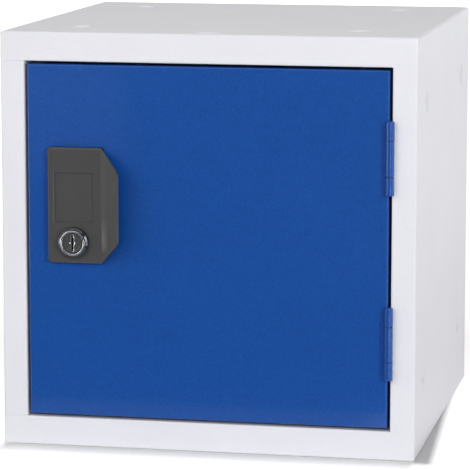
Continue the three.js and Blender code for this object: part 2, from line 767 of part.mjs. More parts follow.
function addHousing() {
  const highest = FRONT - HOUSING_HEIGHT - WING_RISE - OVERRUN;
  const body = runAlongZ(housingSection(), [HOUSING_BOTTOM, HOUSING_BOTTOM + HOUSING_TALL])
    .intersect(runAlongY(housingOutline(), [highest, FRONT]));
  let pocket = block(
    [HOUSING_LEFT + HOUSING_WALL, HOUSING_LEFT + HOUSING_WIDTH - HOUSING_WALL],
    [HOUSING_FACE + HOUSING_WALL, FRONT + OVERRUN],
    [HOUSING_BOTTOM + HOUSING_WALL, HOUSING_BOTTOM + HOUSING_TALL - HOUSING_WALL],
  );
  const bossSpan = [HOUSING_FACE, FRONT + OVERRUN + OVERRUN];
  const lockBoss = cylinderAlongY(BARREL_RADIUS + HOUSING_WALL, [LOCK_X, LOCK_Z], bossSpan, FINE_SIDES);
  pocket = pocket.subtract(lockBoss);
  for (const height of BOSS_HEIGHTS) {
    const centre = [LOCK_X, HOUSING_BOTTOM + height];
    pocket = pocket.subtract(cylinderAlongY(BOSS_RADIUS, centre, bossSpan, FASTENER_SIDES));
  }
  const label = draftedBlock(
    [LOCK_X - LABEL_WIDTH / 2, LOCK_X + LABEL_WIDTH / 2],
    [HOUSING_FACE - LABEL_DEPTH, HOUSING_FACE + LABEL_DEPTH],
    [HOUSING_BOTTOM + LABEL_BASE, HOUSING_BOTTOM + LABEL_BASE + LABEL_TALL],
    LABEL_DRAFT,
  );
  const barrelHole = cylinderAlongY(
    BARREL_RADIUS + BARREL_CLEARANCE,
    [LOCK_X, LOCK_Z],
    [HOUSING_FACE - OVERRUN, FRONT + OVERRUN],
    FINE_SIDES,
  );
  let housing = body.subtract(pocket).subtract(label).subtract(barrelHole);
  for (const height of BOSS_HEIGHTS) {
    const centre = [LOCK_X, HOUSING_BOTTOM + height];
    const depth = [FRONT - SCREW_REACH - SCREW_CLEARANCE, FRONT + OVERRUN];
    const radius = SCREW_RADIUS + SCREW_CLEARANCE;
    housing = housing.subtract(cylinderAlongY(radius, centre, depth, FASTENER_SIDES));
  }
  add(door, "lock_housing", housing, MATERIALS.darkPlastic);
}

// Pan-head screws from inside the door into the housing's bosses.
function addHousingScrews() {
  const headEnd = SCREW_REACH + SHEET + SCREW_HEAD;
  const outline = [
    [0, 0],
    [SCREW_RADIUS, 0],
    [SCREW_RADIUS, SCREW_REACH + SHEET],
    [SCREW_HEAD_RADIUS, SCREW_REACH + SHEET],
    [SCREW_HEAD_RADIUS, SCREW_REACH + SHEET + SCREW_HEAD / 2],
    [SCREW_HEAD_RADIUS - SCREW_HEAD / 2, headEnd],
    [0, headEnd],
  ];
  const slot = block(
    [-SCREW_HEAD_RADIUS - OVERRUN, SCREW_HEAD_RADIUS + OVERRUN],
    [headEnd - SCREW_SLOT_DEPTH, headEnd + OVERRUN],
    [-SCREW_SLOT_WIDTH / 2, SCREW_SLOT_WIDTH / 2],
  );
  const screw = solidFrom(turned(outline, FASTENER_SIDES)).subtract(slot);
  const names = ["lower_housing_screw", "upper_housing_screw"];
  BOSS_HEIGHTS.forEach((height, index) => {
    const mesh = add(door, names[index], screw, MATERIALS.zinc);
    mesh.position.set(LOCK_X, FRONT - SCREW_REACH, HOUSING_BOTTOM + height);
  });
}

// Lock outlines are drawn as [radius, place along Y] about the lock's axis.
function atLock(geometry) {
  geometry.translate(LOCK_X, 0, LOCK_Z);
  return solidFrom(geometry);
}

// The barrel: a tapered head with a polished ring, and a flatted body that passes the door.
function addBarrel() {
  const ringFront = HOUSING_FACE - RING_HEIGHT;
  const seat = ringFront + FACE_SINK + FACE_THICKNESS + PLUG_CLEARANCE;
  const head = atLock(turned([
    [FACE_RADIUS, ringFront + RING_ROUND],
    [FACE_RADIUS + RING_ROUND, ringFront],
    [RING_RADIUS - RING_ROUND, ringFront],
    [RING_RADIUS, ringFront + RING_ROUND],
    [HEAD_RADIUS, HOUSING_FACE - HEAD_RIM],
    [HEAD_RADIUS, HOUSING_FACE],
    [BORE_RADIUS, HOUSING_FACE],
    [BORE_RADIUS, seat],
    [FACE_RADIUS, seat],
  ], FINE_SIDES));
  const bodySpan = [HOUSING_FACE - HEAD_RIM, FRONT + BARREL_BEHIND];
  const boreSpan = [HOUSING_FACE - OVERRUN, FRONT + BARREL_BEHIND + OVERRUN];
  const body = flattedCylinder(BARREL_RADIUS, BARREL_FLATS, bodySpan)
    .subtract(cylinderAlongY(BORE_RADIUS, [LOCK_X, LOCK_Z], boreSpan, FINE_SIDES));
  add(door, "lock_barrel", head.add(body), MATERIALS.chrome);
}

// The plug turns in the barrel. It has the keyway in front and a square tail for the cam.
function addPlug() {
  const faceFront = HOUSING_FACE - RING_HEIGHT + FACE_SINK;
  const faceBack = faceFront + FACE_THICKNESS;
  const bodyRadius = BORE_RADIUS - PLUG_CLEARANCE;
  const faceRadius = FACE_RADIUS - PLUG_CLEARANCE;
  const turnedPart = atLock(turned([
    [0, faceFront],
    [faceRadius, faceFront],
    [faceRadius, faceBack],
    [bodyRadius, faceBack],
    [bodyRadius, CAM_FRONT],
    [0, CAM_FRONT],
  ], FINE_SIDES));
  const halfTail = TAIL_SIZE / 2;
  const tail = block(
    [LOCK_X - halfTail, LOCK_X + halfTail],
    [CAM_FRONT - OVERRUN, CAM_BACK - TAIL_SHORT],
    [LOCK_Z - halfTail, LOCK_Z + halfTail],
  );
  const keySpan = [faceFront - OVERRUN, faceFront + KEYWAY_DEPTH];
  const keyway = block(
    [LOCK_X - KEYWAY_WIDTH / 2, LOCK_X + KEYWAY_WIDTH / 2],
    keySpan,
    [LOCK_Z - KEYWAY_TALL / 2, LOCK_Z + KEYWAY_TALL / 2],
  ).add(cylinderAlongY(KEYWAY_BULGE, [LOCK_X, LOCK_Z], keySpan, ROUND_SIDES));
  const screwSpan = [CAM_BACK - CAM_SCREW_DEPTH - PLUG_CLEARANCE, CAM_BACK + OVERRUN];
  const screwHole = cylinderAlongY(
    CAM_SCREW_RADIUS + PLUG_CLEARANCE,
    [LOCK_X, LOCK_Z],
    screwSpan,
    ROUND_SIDES,
  );
  const plug = turnedPart.add(tail).subtract(keyway).subtract(screwHole);
  add(door, "lock_plug", plug, MATERIALS.chrome);
}

function hexagon(flats, [y0, y1]) {
  const radius = flats / 2 / Math.cos(Math.PI / HEX_SIDES);
  return cylinderAlongY(radius, [LOCK_X, LOCK_Z], [y0, y1], HEX_SIDES);
}

function addLockNut() {
  const front = DOOR_INSIDE + SEAM_GAP;
  const back = front + NUT_THICKNESS;
  const bore = cylinderAlongY(
    BARREL_RADIUS + PLUG_CLEARANCE,
    [LOCK_X, LOCK_Z],
    [front - OVERRUN, back + OVERRUN],
    FINE_SIDES,
  );
  add(door, "lock_nut", hexagon(NUT_FLATS, [front, back]).subtract(bore), MATERIALS.zinc);
}

// The cam hangs straight down with the key upright and swings left behind the stop lip.
function addCam() {
  const tipHalf = CAM_TIP_WIDTH / 2;
  const arm = roundedShape([
    [LOCK_X - CAM_HUB_RADIUS, LOCK_Z, 0],
    [LOCK_X - tipHalf, LOCK_Z - CAM_LENGTH, CAM_TIP_ROUND],
    [LOCK_X + tipHalf, LOCK_Z - CAM_LENGTH, CAM_TIP_ROUND],
    [LOCK_X + CAM_HUB_RADIUS, LOCK_Z, 0],
  ]);
  const thickness = [CAM_FRONT + SEAM_GAP, CAM_BACK];
  const halfHole = TAIL_SIZE / 2 + TAIL_CLEARANCE;
  const hole = block(
    [LOCK_X - halfHole, LOCK_X + halfHole],
    [CAM_FRONT - OVERRUN, CAM_BACK + OVERRUN],
    [LOCK_Z - halfHole, LOCK_Z + halfHole],
  );
  const cam = cylinderAlongY(CAM_HUB_RADIUS, [LOCK_X, LOCK_Z], thickness, FINE_SIDES)
    .add(runAlongY(arm, thickness))
    .subtract(hole);
  add(door, "lock_cam", cam, MATERIALS.zinc);
}

function addCamScrew() {
  const washerFront = CAM_BACK + SEAM_GAP;
  const washerBack = washerFront + CAM_SCREW_WASHER;
  const shank = atLock(turned([
    [0, CAM_BACK - CAM_SCREW_DEPTH],
    [CAM_SCREW_RADIUS, CAM_BACK - CAM_SCREW_DEPTH],
    [CAM_SCREW_RADIUS, washerFront],
    [CAM_SCREW_WASHER_RADIUS, washerFront],
    [CAM_SCREW_WASHER_RADIUS, washerBack],
    [0, washerBack],
  ], ROUND_SIDES));
  const head = hexagon(CAM_SCREW_FLATS, [washerBack - CAM_SCREW_WASHER / 2, washerBack + CAM_SCREW_HEAD]);
  add(door, "cam_screw", shank.add(head), MATERIALS.zinc);
}

addRailPanels();
addSidePanels();
addBackPanel();
addBuffers();
addDoorPan();
addHinges();
addRivets();
addHousing();
addHousingScrews();
addBarrel();
addPlug();
addLockNut();
addCam();
addCamScrew();

export default locker;
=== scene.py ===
import math

import bmesh
import bpy
from mathutils import Matrix, Vector


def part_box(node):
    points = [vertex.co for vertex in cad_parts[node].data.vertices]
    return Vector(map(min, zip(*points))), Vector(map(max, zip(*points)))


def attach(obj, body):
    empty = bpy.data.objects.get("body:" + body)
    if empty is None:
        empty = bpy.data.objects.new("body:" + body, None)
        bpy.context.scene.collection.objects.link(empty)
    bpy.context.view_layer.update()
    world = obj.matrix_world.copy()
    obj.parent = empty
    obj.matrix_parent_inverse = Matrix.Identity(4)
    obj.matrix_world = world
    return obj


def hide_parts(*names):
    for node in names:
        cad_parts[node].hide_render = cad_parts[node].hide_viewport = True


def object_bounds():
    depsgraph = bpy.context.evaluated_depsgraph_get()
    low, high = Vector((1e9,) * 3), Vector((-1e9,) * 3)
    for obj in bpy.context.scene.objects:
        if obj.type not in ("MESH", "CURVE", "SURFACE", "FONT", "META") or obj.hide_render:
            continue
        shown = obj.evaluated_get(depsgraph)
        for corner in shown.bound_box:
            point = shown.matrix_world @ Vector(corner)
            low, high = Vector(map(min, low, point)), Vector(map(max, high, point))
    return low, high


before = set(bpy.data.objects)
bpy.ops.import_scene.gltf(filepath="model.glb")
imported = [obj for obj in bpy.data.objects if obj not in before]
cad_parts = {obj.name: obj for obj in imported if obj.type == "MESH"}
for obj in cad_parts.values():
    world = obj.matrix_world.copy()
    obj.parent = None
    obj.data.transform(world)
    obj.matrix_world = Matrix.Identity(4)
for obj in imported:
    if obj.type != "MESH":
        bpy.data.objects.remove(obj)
cad_low, cad_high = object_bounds()
scene = bpy.context.scene
MM = 0.001

BARREL_LOW, BARREL_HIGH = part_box("lock_barrel")
LOCK_X = (BARREL_LOW.x + BARREL_HIGH.x) / 2
LOCK_Z = (BARREL_LOW.z + BARREL_HIGH.z) / 2


# Scene helpers

def add_to_scene(name, data):
    obj = bpy.data.objects.new(name, data)
    scene.collection.objects.link(obj)
    return obj


def bare_tree(owner):
    """The node tree of a material or world, emptied."""
    owner.use_nodes = True
    owner.node_tree.nodes.clear()
    return owner.node_tree


# Camera

CAMERA_PLACE = (0.4122, -2.0824, 0.4679)
CAMERA_YAW = math.radians(-11.454)
CAMERA_PITCH = math.radians(-8.860)
CAMERA_ROLL = math.radians(0.019)
CAMERA_LENS = 212.5
CAMERA_SENSOR = 36.0
CAMERA_CLIP = (0.05, 60.0)


def make_camera():
    data = bpy.data.cameras.new("camera")
    data.sensor_width = CAMERA_SENSOR
    data.lens = CAMERA_LENS
    data.clip_start, data.clip_end = CAMERA_CLIP
    camera = add_to_scene("camera", data)
    ahead = Vector((
        math.sin(CAMERA_YAW) * math.cos(CAMERA_PITCH),
        math.cos(CAMERA_YAW) * math.cos(CAMERA_PITCH),
        math.sin(CAMERA_PITCH),
    ))
    turn = ahead.to_track_quat("-Z", "Y").to_matrix() @ Matrix.Rotation(CAMERA_ROLL, 3, "Z")
    camera.matrix_world = Matrix.Translation(CAMERA_PLACE) @ turn.to_4x4()
    scene.camera = camera


# Maths in node trees

class Fields:
    """Short ways to add maths nodes to a shader or to geometry nodes."""

    def __init__(self, group):
        self.nodes, self.links = group.nodes, group.links

    def math(self, operation, *values):
        node = self.nodes.new("ShaderNodeMath")
        node.operation = operation
        for socket, value in zip(node.inputs, values):
            if isinstance(value, (int, float)):
                socket.default_value = value
            else:
                self.links.new(value, socket)
        return node.outputs[0]

    def most(self, *values):
        """The largest of the values."""
        return self.in_turn("MAXIMUM", values)

    def product(self, *values):
        return self.in_turn("MULTIPLY", values)

    def in_turn(self, operation, values):
        total = values[0]
        for value in values[1:]:
            total = self.math(operation, total, value)
        return total

    def within(self, coordinate, centre, reach):
        """1 where the coordinate is within reach of the centre, else 0."""
        off = self.math("ABSOLUTE", self.math("SUBTRACT", coordinate, centre))
        return self.math("LESS_THAN", off, reach)

    def ramp(self, value, start, end):
        """0 at the start and 1 at the end, held between them."""
        scaled = self.math("DIVIDE", self.math("SUBTRACT", value, start), end - start)
        return self.math("MINIMUM", self.math("MAXIMUM", scaled, 0.0), 1.0)


# Materials

def linear(*rgb):
    """A colour given as 0 to 255 screen values, as the shader wants it."""
    def one(level):
        share = level / 255.0
        return share / 12.92 if share <= 0.04045 else ((share + 0.055) / 1.055) ** 2.4
    return tuple(one(level) for level in rgb) + (1.0,)


class Shader:
    """A material with a Principled shader and short ways to add nodes."""

    def __init__(self, name, **values):
        self.material = bpy.data.materials.new(name)
        tree = bare_tree(self.material)
        self.nodes, self.links = tree.nodes, tree.links
        out = self.nodes.new("ShaderNodeOutputMaterial")
        self.bsdf = self.nodes.new("ShaderNodeBsdfPrincipled")
        self.links.new(self.bsdf.outputs[0], out.inputs["Surface"])
        for key, value in values.items():
            self.bsdf.inputs[key.replace("_", " ")].default_value = value
        self.where = self.nodes.new("ShaderNodeTexCoord").outputs["Object"]

    def link(self, source, target):
        self.links.new(source, target)

    def noise(self, size, detail=2.0, roughness=0.5, stretch=None):
        """Noise whose blots are about size across, in metres."""
        node = self.nodes.new("ShaderNodeTexNoise")
        node.inputs["Scale"].default_value = 1.0 / size
        node.inputs["Detail"].default_value = detail
        node.inputs["Roughness"].default_value = roughness
        source = self.where
        if stretch:
            mapping = self.nodes.new("ShaderNodeMapping")
            mapping.inputs["Scale"].default_value = stretch
            self.link(self.where, mapping.inputs["Vector"])
            source = mapping.outputs[0]
        self.link(source, node.inputs["Vector"])
        return node.outputs["Fac"]

    def span(self, source, low, high, start=0.0, end=1.0):
        """The source's range from start to end, spread over low to high."""
        node = self.nodes.new("ShaderNodeMapRange")
        self.link(source, node.inputs["Value"])
        node.inputs["From Min"].default_value = start
        node.inputs["From Max"].default_value = end
        node.inputs["To Min"].default_value = low
        node.inputs["To Max"].default_value = high
        return node.outputs[0]

    def stretch(self, source, start=0.3, end=0.7):
        """A noise's middle range, spread over 0 to 1."""
        return self.span(source, 0.0, 1.0, start, end)

    def mottle(self, colour, clouds, specks, dim_shades, lit_shades):
        """Specks of dim and lit colour, each of which varies with the clouds."""
        dim, lit = (
            self.mix(clouds, shade(colour, low), shade(colour, high))
            for low, high in (dim_shades, lit_shades)
        )
        return self.mix(specks, dim, lit)

    def mix(self, factor, first, second):
        node = self.nodes.new("ShaderNodeMix")
        node.data_type = "RGBA"
        self.link(factor, node.inputs[0])
        for socket, value in ((node.inputs[6], first), (node.inputs[7], second)):
            if isinstance(value, tuple):
                socket.default_value = value
            else:
                self.link(value, socket)
        return node.outputs[2]

    def colour(self, source):
        self.link(source, self.bsdf.inputs["Base Color"])

    def rough(self, source):
        self.link(source, self.bsdf.inputs["Roughness"])

    def bump(self, source, strength, depth, below=None):
        node = self.nodes.new("ShaderNodeBump")
        node.inputs["Strength"].default_value = strength
        node.inputs["Distance"].default_value = depth
        self.link(source, node.inputs["Height"])
        if below is not None:
            self.link(below, node.inputs["Normal"])
        self.link(node.outputs[0], self.bsdf.inputs["Normal"])
        return node.outputs[0]


def shade(colour, factor):
    """A colour made lighter or darker by a factor."""
    return tuple(min(1.0, part * factor) for part in colour[:3]) + (1.0,)


CLOUD_SHADES = (0.985, 1.015)
ZINC_PATCH = 2.2 * MM


def powder_coat(name, colour, roughness, grain, contrast, depth, specular, coat=0.0):
    """Baked powder paint: a fine orange peel, specks of light and shade, and a faint cloudiness."""
    surface = Shader(name, Specular_IOR_Level=specular, Coat_Weight=coat, Coat_Roughness=0.1)
    clouds = surface.stretch(surface.noise(size=70 * MM, detail=3.0))
    specks = surface.stretch(surface.noise(size=grain, roughness=0.6), start=0.2, end=0.8)
    dim_shades = [cloud - contrast for cloud in CLOUD_SHADES]
    lit_shades = [cloud + contrast for cloud in CLOUD_SHADES]
    surface.colour(surface.mottle(colour, clouds, specks, dim_shades, lit_shades))
    surface.rough(surface.span(specks, low=roughness - 0.04, high=roughness + 0.05))
    peel = surface.bump(surface.noise(size=2.2 * MM, detail=1.0), strength=0.35, depth=depth)
    surface.bump(surface.noise(size=0.7 * MM), strength=0.25, depth=depth * 0.4, below=peel)
    return surface.material


# The label recess, measured up from the housing's lower edge and in from its left one.
LABEL_MIDDLE = 48.0 * MM
LABEL_HALF_TALL = 18.2 * MM
LABEL_LEFT = 4.7 * MM
# A painted highlight along the label recess's left edge: its half width and its weight.
LABEL_LINE_HALF = 0.45 * MM
LABEL_LINE_WEIGHT = 0.3

# A painted highlight along the housing's outer rim: how far in from each edge it reaches, and its weight.
RIM_HIGHLIGHT_REACH = 0.7 * MM
RIM_HIGHLIGHT_WEIGHT = 0.2

# The painted highlight along the crease: its place in from the housing's right edge, where it starts
# and ends across, and the heights where it starts, is full, fades and is down to its faint upper part.
CREASE_BACK = 14.0 * MM
CREASE_BEFORE = (-1.4 * MM, -0.4 * MM)
CREASE_AFTER = (5.0 * MM, 0.5 * MM)
CREASE_SPAN = (7.0 * MM, 14.0 * MM, 21.0 * MM, 34.0 * MM)
CREASE_FAINT = 0.15
# How much lighter the painted highlights make the plastic.
HIGHLIGHT_SHADE = 2.7


def housing_painted_highlights(surface):
    """Painted highlights: most in the housing's crease, less on its rim and the label's left edge."""
    fields = Fields(surface.material.node_tree)
    low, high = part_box("lock_housing")
    place = surface.nodes.new("ShaderNodeSeparateXYZ")
    surface.link(surface.where, place.inputs[0])
    x, _, z = place.outputs
    # Painted highlight on the rim, lighter towards each outer edge.
    rims = [
        fields.ramp(coordinate, edge + inward * RIM_HIGHLIGHT_REACH * 2, edge + inward * RIM_HIGHLIGHT_REACH)
        for coordinate, edge, inward in ((x, low.x, 1), (x, high.x, -1), (z, low.z, 1), (z, high.z, -1))
    ]
    rim = fields.product(fields.most(*rims), RIM_HIGHLIGHT_WEIGHT)
    # Painted highlight in the crease.
    past = fields.math("SUBTRACT", x, high.x - CREASE_BACK)
    across = fields.math("MINIMUM", fields.ramp(past, *CREASE_BEFORE), fields.ramp(past, *CREASE_AFTER))
    start, full, fade, end = (low.z + part for part in CREASE_SPAN)
    faded = fields.math("MULTIPLY_ADD", fields.ramp(z, end, fade), 1.0 - CREASE_FAINT, CREASE_FAINT)
    crease_highlight = fields.product(across, fields.ramp(z, start, full), faded)
    # Painted highlight along the label recess's left edge.
    beside = fields.within(x, low.x + LABEL_LEFT, LABEL_LINE_HALF)
    level = fields.within(z, low.z + LABEL_MIDDLE, LABEL_HALF_TALL)
    label_edge_highlight = fields.product(beside, level, LABEL_LINE_WEIGHT)
    return fields.most(rim, label_edge_highlight, crease_highlight)


def moulded_plastic(name, colour):
    """A moulding with a fine spark-eroded grain, a little cloudy, with painted highlights in places."""
    surface = Shader(name, Specular_IOR_Level=0.25)
    grain = surface.noise(size=0.6 * MM, detail=3.0, roughness=0.6)
    clouds = surface.stretch(surface.noise(size=18 * MM, detail=3.0))
    specks = surface.stretch(grain)
    plain = surface.mottle(colour, clouds, specks, dim_shades=(0.88, 0.97), lit_shades=(1.03, 1.12))
    # The plastic's colour, with a lighter copy mixed in where the painted highlights are.
    surface.colour(surface.mix(housing_painted_highlights(surface), plain, shade(colour, HIGHLIGHT_SHADE)))
    surface.rough(surface.span(grain, low=0.5, high=0.62))
    surface.bump(grain, strength=0.3, depth=0.04 * MM)
    return surface.material


def polished_metal(name, colour, roughness, scratches, metallic=1.0):
    """Plated metal with faint stains, patches of wear and fine scratches."""
    surface = Shader(name, Metallic=metallic)
    blots = surface.noise(size=4 * MM, detail=4.0, roughness=0.6)
    stains = surface.stretch(blots, start=0.35, end=0.65)
    surface.colour(surface.mix(stains, shade(colour, 0.93), shade(colour, 1.04)))
    wear = surface.noise(size=1.5 * MM, detail=3.0)
    surface.rough(surface.span(wear, low=roughness * 0.7, high=roughness * 1.4, start=0.3, end=0.7))
    scratched = surface.noise(size=0.3 * MM, roughness=0.6, stretch=(1.0, 1.0, 9.0))
    surface.bump(scratched, strength=scratches, depth=0.01 * MM)
    return surface.material


def plated_steel(name, colour, roughness):
    """Zinc plate: crystal-like patches that differ a little in shade and gloss."""
    surface = Shader(name, Metallic=1.0)
    cells = surface.nodes.new("ShaderNodeTexVoronoi")
    cells.inputs["Scale"].default_value = 1.0 / ZINC_PATCH
    surface.link(surface.where, cells.inputs["Vector"])
    patch = surface.nodes.new("ShaderNodeSeparateColor")
    surface.link(cells.outputs["Color"], patch.inputs[0])
    surface.colour(surface.mix(patch.outputs[0], shade(colour, 0.82), shade(colour, 1.1)))
    surface.rough(surface.span(patch.outputs[1], low=roughness - 0.08, high=roughness + 0.1))
    surface.bump(surface.noise(size=0.6 * MM, detail=3.0), strength=0.2, depth=0.02 * MM)
    return surface.material


def rubber(name, colour):
    """Dull rubber with a fine grain."""
    surface = Shader(name, Specular_IOR_Level=0.3)
    grain = surface.noise(size=0.8 * MM, detail=3.0)
    surface.colour(surface.mix(grain, shade(colour, 0.7), shade(colour, 1.4)))
    surface.rough(surface.span(grain, low=0.7, high=0.9))
    surface.bump(grain, strength=0.3, depth=0.03 * MM)
    return surface.material


# Darker copies of the chrome, as painted shade for the dark room the lock's chrome mirrors: one for the
# bore, head and base, a deeper one for the flank away from the hinges, and the plug's face, which is also
# scratched.
CHROME_IN_SHADE = polished_metal(
    "chrome_in_shade", linear(80, 83, 90), roughness=0.13, scratches=0.05, metallic=0.8,
)
CHROME_IN_DEEPER_SHADE = polished_metal(
    "chrome_in_deeper_shade", linear(62, 65, 70), roughness=0.25, scratches=0.1, metallic=0.6,
)
WORN_SHADED_FACE = polished_metal(
    "worn_shaded_face", linear(84, 86, 87), roughness=0.3, scratches=0.5, metallic=0.4,
)

FINISHES = {
    "body_paint": powder_coat(
        "grey_powder_coat", linear(231, 231, 237), roughness=0.4,
        grain=0.9 * MM, contrast=0.03, depth=0.03 * MM, specular=0.35,
    ),
    "door_paint": powder_coat(
        "blue_powder_coat", linear(16, 75, 155), roughness=0.32,
        grain=1.1 * MM, contrast=0.24, depth=0.04 * MM, specular=0.25, coat=0.5,
    ),
    "housing_plastic": moulded_plastic("moulded_black", linear(71, 71, 72)),
    "lock_chrome": polished_metal("chrome", linear(240, 242, 245), roughness=0.17, scratches=0.02),
    "zinc_steel": plated_steel("zinc_plate", linear(186, 188, 190), roughness=0.34),
    "buffer_rubber": rubber("rubber", linear(38, 38, 38)),
}


def finish_nodes():
    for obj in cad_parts.values():
        for slot in obj.material_slots:
            slot.material = FINISHES[slot.material.name]


# Edges of the solids

# The range of the angles at which the facets round a dished hole's rims meet.
DISH_ANGLES = (math.radians(17.0), math.radians(21.0))


def geometry_group(name):
    """A new geometry node group with its input and output nodes."""
    group = bpy.data.node_groups.new(name, "GeometryNodeTree")
    for way in ("INPUT", "OUTPUT"):
        group.interface.new_socket("Geometry", in_out=way, socket_type="NodeSocketGeometry")
    return group, group.nodes.new("NodeGroupInput"), group.nodes.new("NodeGroupOutput")


def smooth_group(name, keeps_dishes=False):
    """Shades every face smooth, but may keep the rims of the dished holes crisp."""
    group, start, end = geometry_group(name)
    smooth = group.nodes.new("GeometryNodeSetShadeSmooth")
    group.links.new(start.outputs[0], smooth.inputs["Geometry"])
    last = smooth
    if keeps_dishes:
        fold = group.nodes.new("GeometryNodeInputMeshEdgeAngle").outputs[0]
        middle = sum(DISH_ANGLES) / 2
        is_rim = Fields(group).within(fold, middle, DISH_ANGLES[1] - middle)
        last = group.nodes.new("GeometryNodeSetShadeSmooth")
        last.domain = "EDGE"
        last.inputs["Shade Smooth"].default_value = False
        group.links.new(is_rim, last.inputs["Selection"])
        group.links.new(smooth.outputs[0], last.inputs["Geometry"])
    group.links.new(last.outputs[0], end.inputs[0])
    return group


SMOOTH = smooth_group("smooth_faces")
SMOOTH_DISHED = smooth_group("smooth_dished", keeps_dishes=True)

DISHED = ("top_panel", "bottom_panel", "left_side_panel", "right_side_panel")

# Widths of the softened edges, in millimetres. The housing's own are further down.
EDGES = {
    "top_panel": 0.08, "bottom_panel": 0.08, "left_side_panel": 0.08, "right_side_panel": 0.08,
    "back_panel": 0.25, "door_pan": 0.2, "lock_nut": 0.3, "lock_cam": 0.3, "cam_screw": 0.2,
}
OTHER_EDGES = 0.15
EDGE_SEGMENTS = 2
SHARP_ANGLE = math.radians(35.0)
FLAT_ANGLE = math.radians(0.5)
WELD_REACH = 0.002 * MM
AREA_WEIGHT = 100

# The housing: its outer bevel, the share of it that recesses get, and how far round the label's and
# the lock's middles those recesses reach. Edges at the housing's back stay sharp.
RIM_WIDTH = 1.1 * MM
RIM_SEGMENTS = 4
RECESS_SHARE = 0.2
LABEL_REACH = (16.2 * MM, 19.7 * MM)
LOCK_HOLE_REACH = 10.6 * MM
REAR_EDGE = 1.0 * MM


def rim_group():
    """Gives the housing's outer edges a wide bevel and the edges of its recesses a narrow one."""
    group, start, end = geometry_group("rim_edges")
    fields = Fields(group)
    nodes, links = group.nodes, group.links
    place = nodes.new("ShaderNodeSeparateXYZ")
    links.new(nodes.new("GeometryNodeInputPosition").outputs[0], place.inputs[0])
    x, y, z = place.outputs
    low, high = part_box("lock_housing")
    label = fields.product(
        fields.within(x, LOCK_X, LABEL_REACH[0]),
        fields.within(z, low.z + LABEL_MIDDLE, LABEL_REACH[1]),
    )
    lock_hole = fields.product(
        fields.within(x, LOCK_X, LOCK_HOLE_REACH),
        fields.within(z, LOCK_Z, LOCK_HOLE_REACH),
    )
    recess = fields.product(fields.most(label, lock_hole), 1.0 - RECESS_SHARE)
    fold = nodes.new("GeometryNodeInputMeshEdgeAngle").outputs[0]
    weight = fields.product(
        fields.math("SUBTRACT", 1.0, recess),
        fields.math("GREATER_THAN", fold, SHARP_ANGLE),
        fields.math("LESS_THAN", y, high.y - REAR_EDGE),
    )
    store = nodes.new("GeometryNodeStoreNamedAttribute")
    store.data_type = "FLOAT"
    store.domain = "EDGE"
    store.inputs["Name"].default_value = "bevel_weight_edge"
    links.new(start.outputs[0], store.inputs["Geometry"])
    links.new(weight, store.inputs["Value"])
    links.new(store.outputs[0], end.inputs[0])
    return group


def round_housing(obj):
    """Makes the housing's bevel wider, and as wide on each edge as the rim group's weight says."""
    rims = obj.modifiers.new("rims", "NODES")
    rims.node_group = rim_group()
    bevel = obj.modifiers["bevel"]
    bevel.limit_method = "WEIGHT"
    bevel.width = RIM_WIDTH
    bevel.segments = RIM_SEGMENTS
    obj.modifiers.move(obj.modifiers.find("rims"), obj.modifiers.find("bevel"))


def soften(obj, width):
    """Rounds an object's sharp edges a little and smooths its folds, without moving its faces."""
    is_dished = obj.name in DISHED
    weld = obj.modifiers.new("weld", "WELD")
    weld.merge_threshold = WELD_REACH
    flat = obj.modifiers.new("flat", "DECIMATE")
    flat.decimate_type = "DISSOLVE"
    flat.angle_limit = FLAT_ANGLE
    smooth = obj.modifiers.new("smooth", "NODES")
    smooth.node_group = SMOOTH_DISHED if is_dished else SMOOTH
    bevel = obj.modifiers.new("bevel", "BEVEL")
    bevel.width = width
    bevel.segments = EDGE_SEGMENTS
    bevel.limit_method = "ANGLE"
    bevel.angle_limit = SHARP_ANGLE
    bevel.use_clamp_overlap = False
    bevel.miter_outer = "MITER_ARC"
    normals = obj.modifiers.new("normals", "WEIGHTED_NORMAL")
    normals.weight = AREA_WEIGHT
    normals.keep_sharp = is_dished


def soften_nodes():
    for name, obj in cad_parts.items():
        soften(obj, EDGES.get(name, OTHER_EDGES) * MM)
    round_housing(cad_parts["lock_housing"])


# New pieces

def new_object(name, mesh, slot, body, *nodes):
    """A piece that rides on a body and hides the CAD nodes it stands for. Its slot is not used."""
    obj = add_to_scene(name, mesh)
    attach(obj, body)
    if nodes:
        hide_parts(*nodes)
    return obj


def smooth_faces(mesh):
    bm = bmesh.new()
    bm.from_mesh(mesh)
    bmesh.ops.recalc_face_normals(bm, faces=bm.faces)
    for face in bm.faces:
        face.smooth = True
    bm.to_mesh(mesh)
    bm.free()


def crease(obj, angle):
    """Keeps the edges sharp that fold by more than an angle in degrees."""
    edges = obj.modifiers.new("creases", "EDGE_SPLIT")
    edges.split_angle = math.radians(angle)


def ring_of_faces(row, after, count):
    """The four-sided faces between two rows of count points, given the rows' numbers."""
    here, there = row * count, after * count
    for i in range(count):
        j = (i + 1) % count
        yield (here + i, there + i, there + j, here + j)


def end_faces(rows, count):
    """The faces that close the first and the last row of points."""
    last = (rows - 1) * count
    return [tuple(range(count)), tuple(last + i for i in range(count))]


# Painted seams

# A seam reaches in over the top and down the side from the body's corner, with a skin under its
# face. Its ends round off with the front fold and stop short of the back panel's edge.
FOLD = 1.8 * MM
SEAM_REACH = 2.85 * MM
SEAM_DROP = 1.85 * MM
SEAM_SKIN = 0.5 * MM
SEAM_RUN_ON = 0.3 * MM
SEAM_FLUSH = 0.03 * MM
SEAM_STEPS = 10
SEAM_CREASE = 40.0
SEAM_END_SHARES = (0.95, 0.75, 0.45, 0.2, 0.0)
REAR_COVER = 1.05 * MM


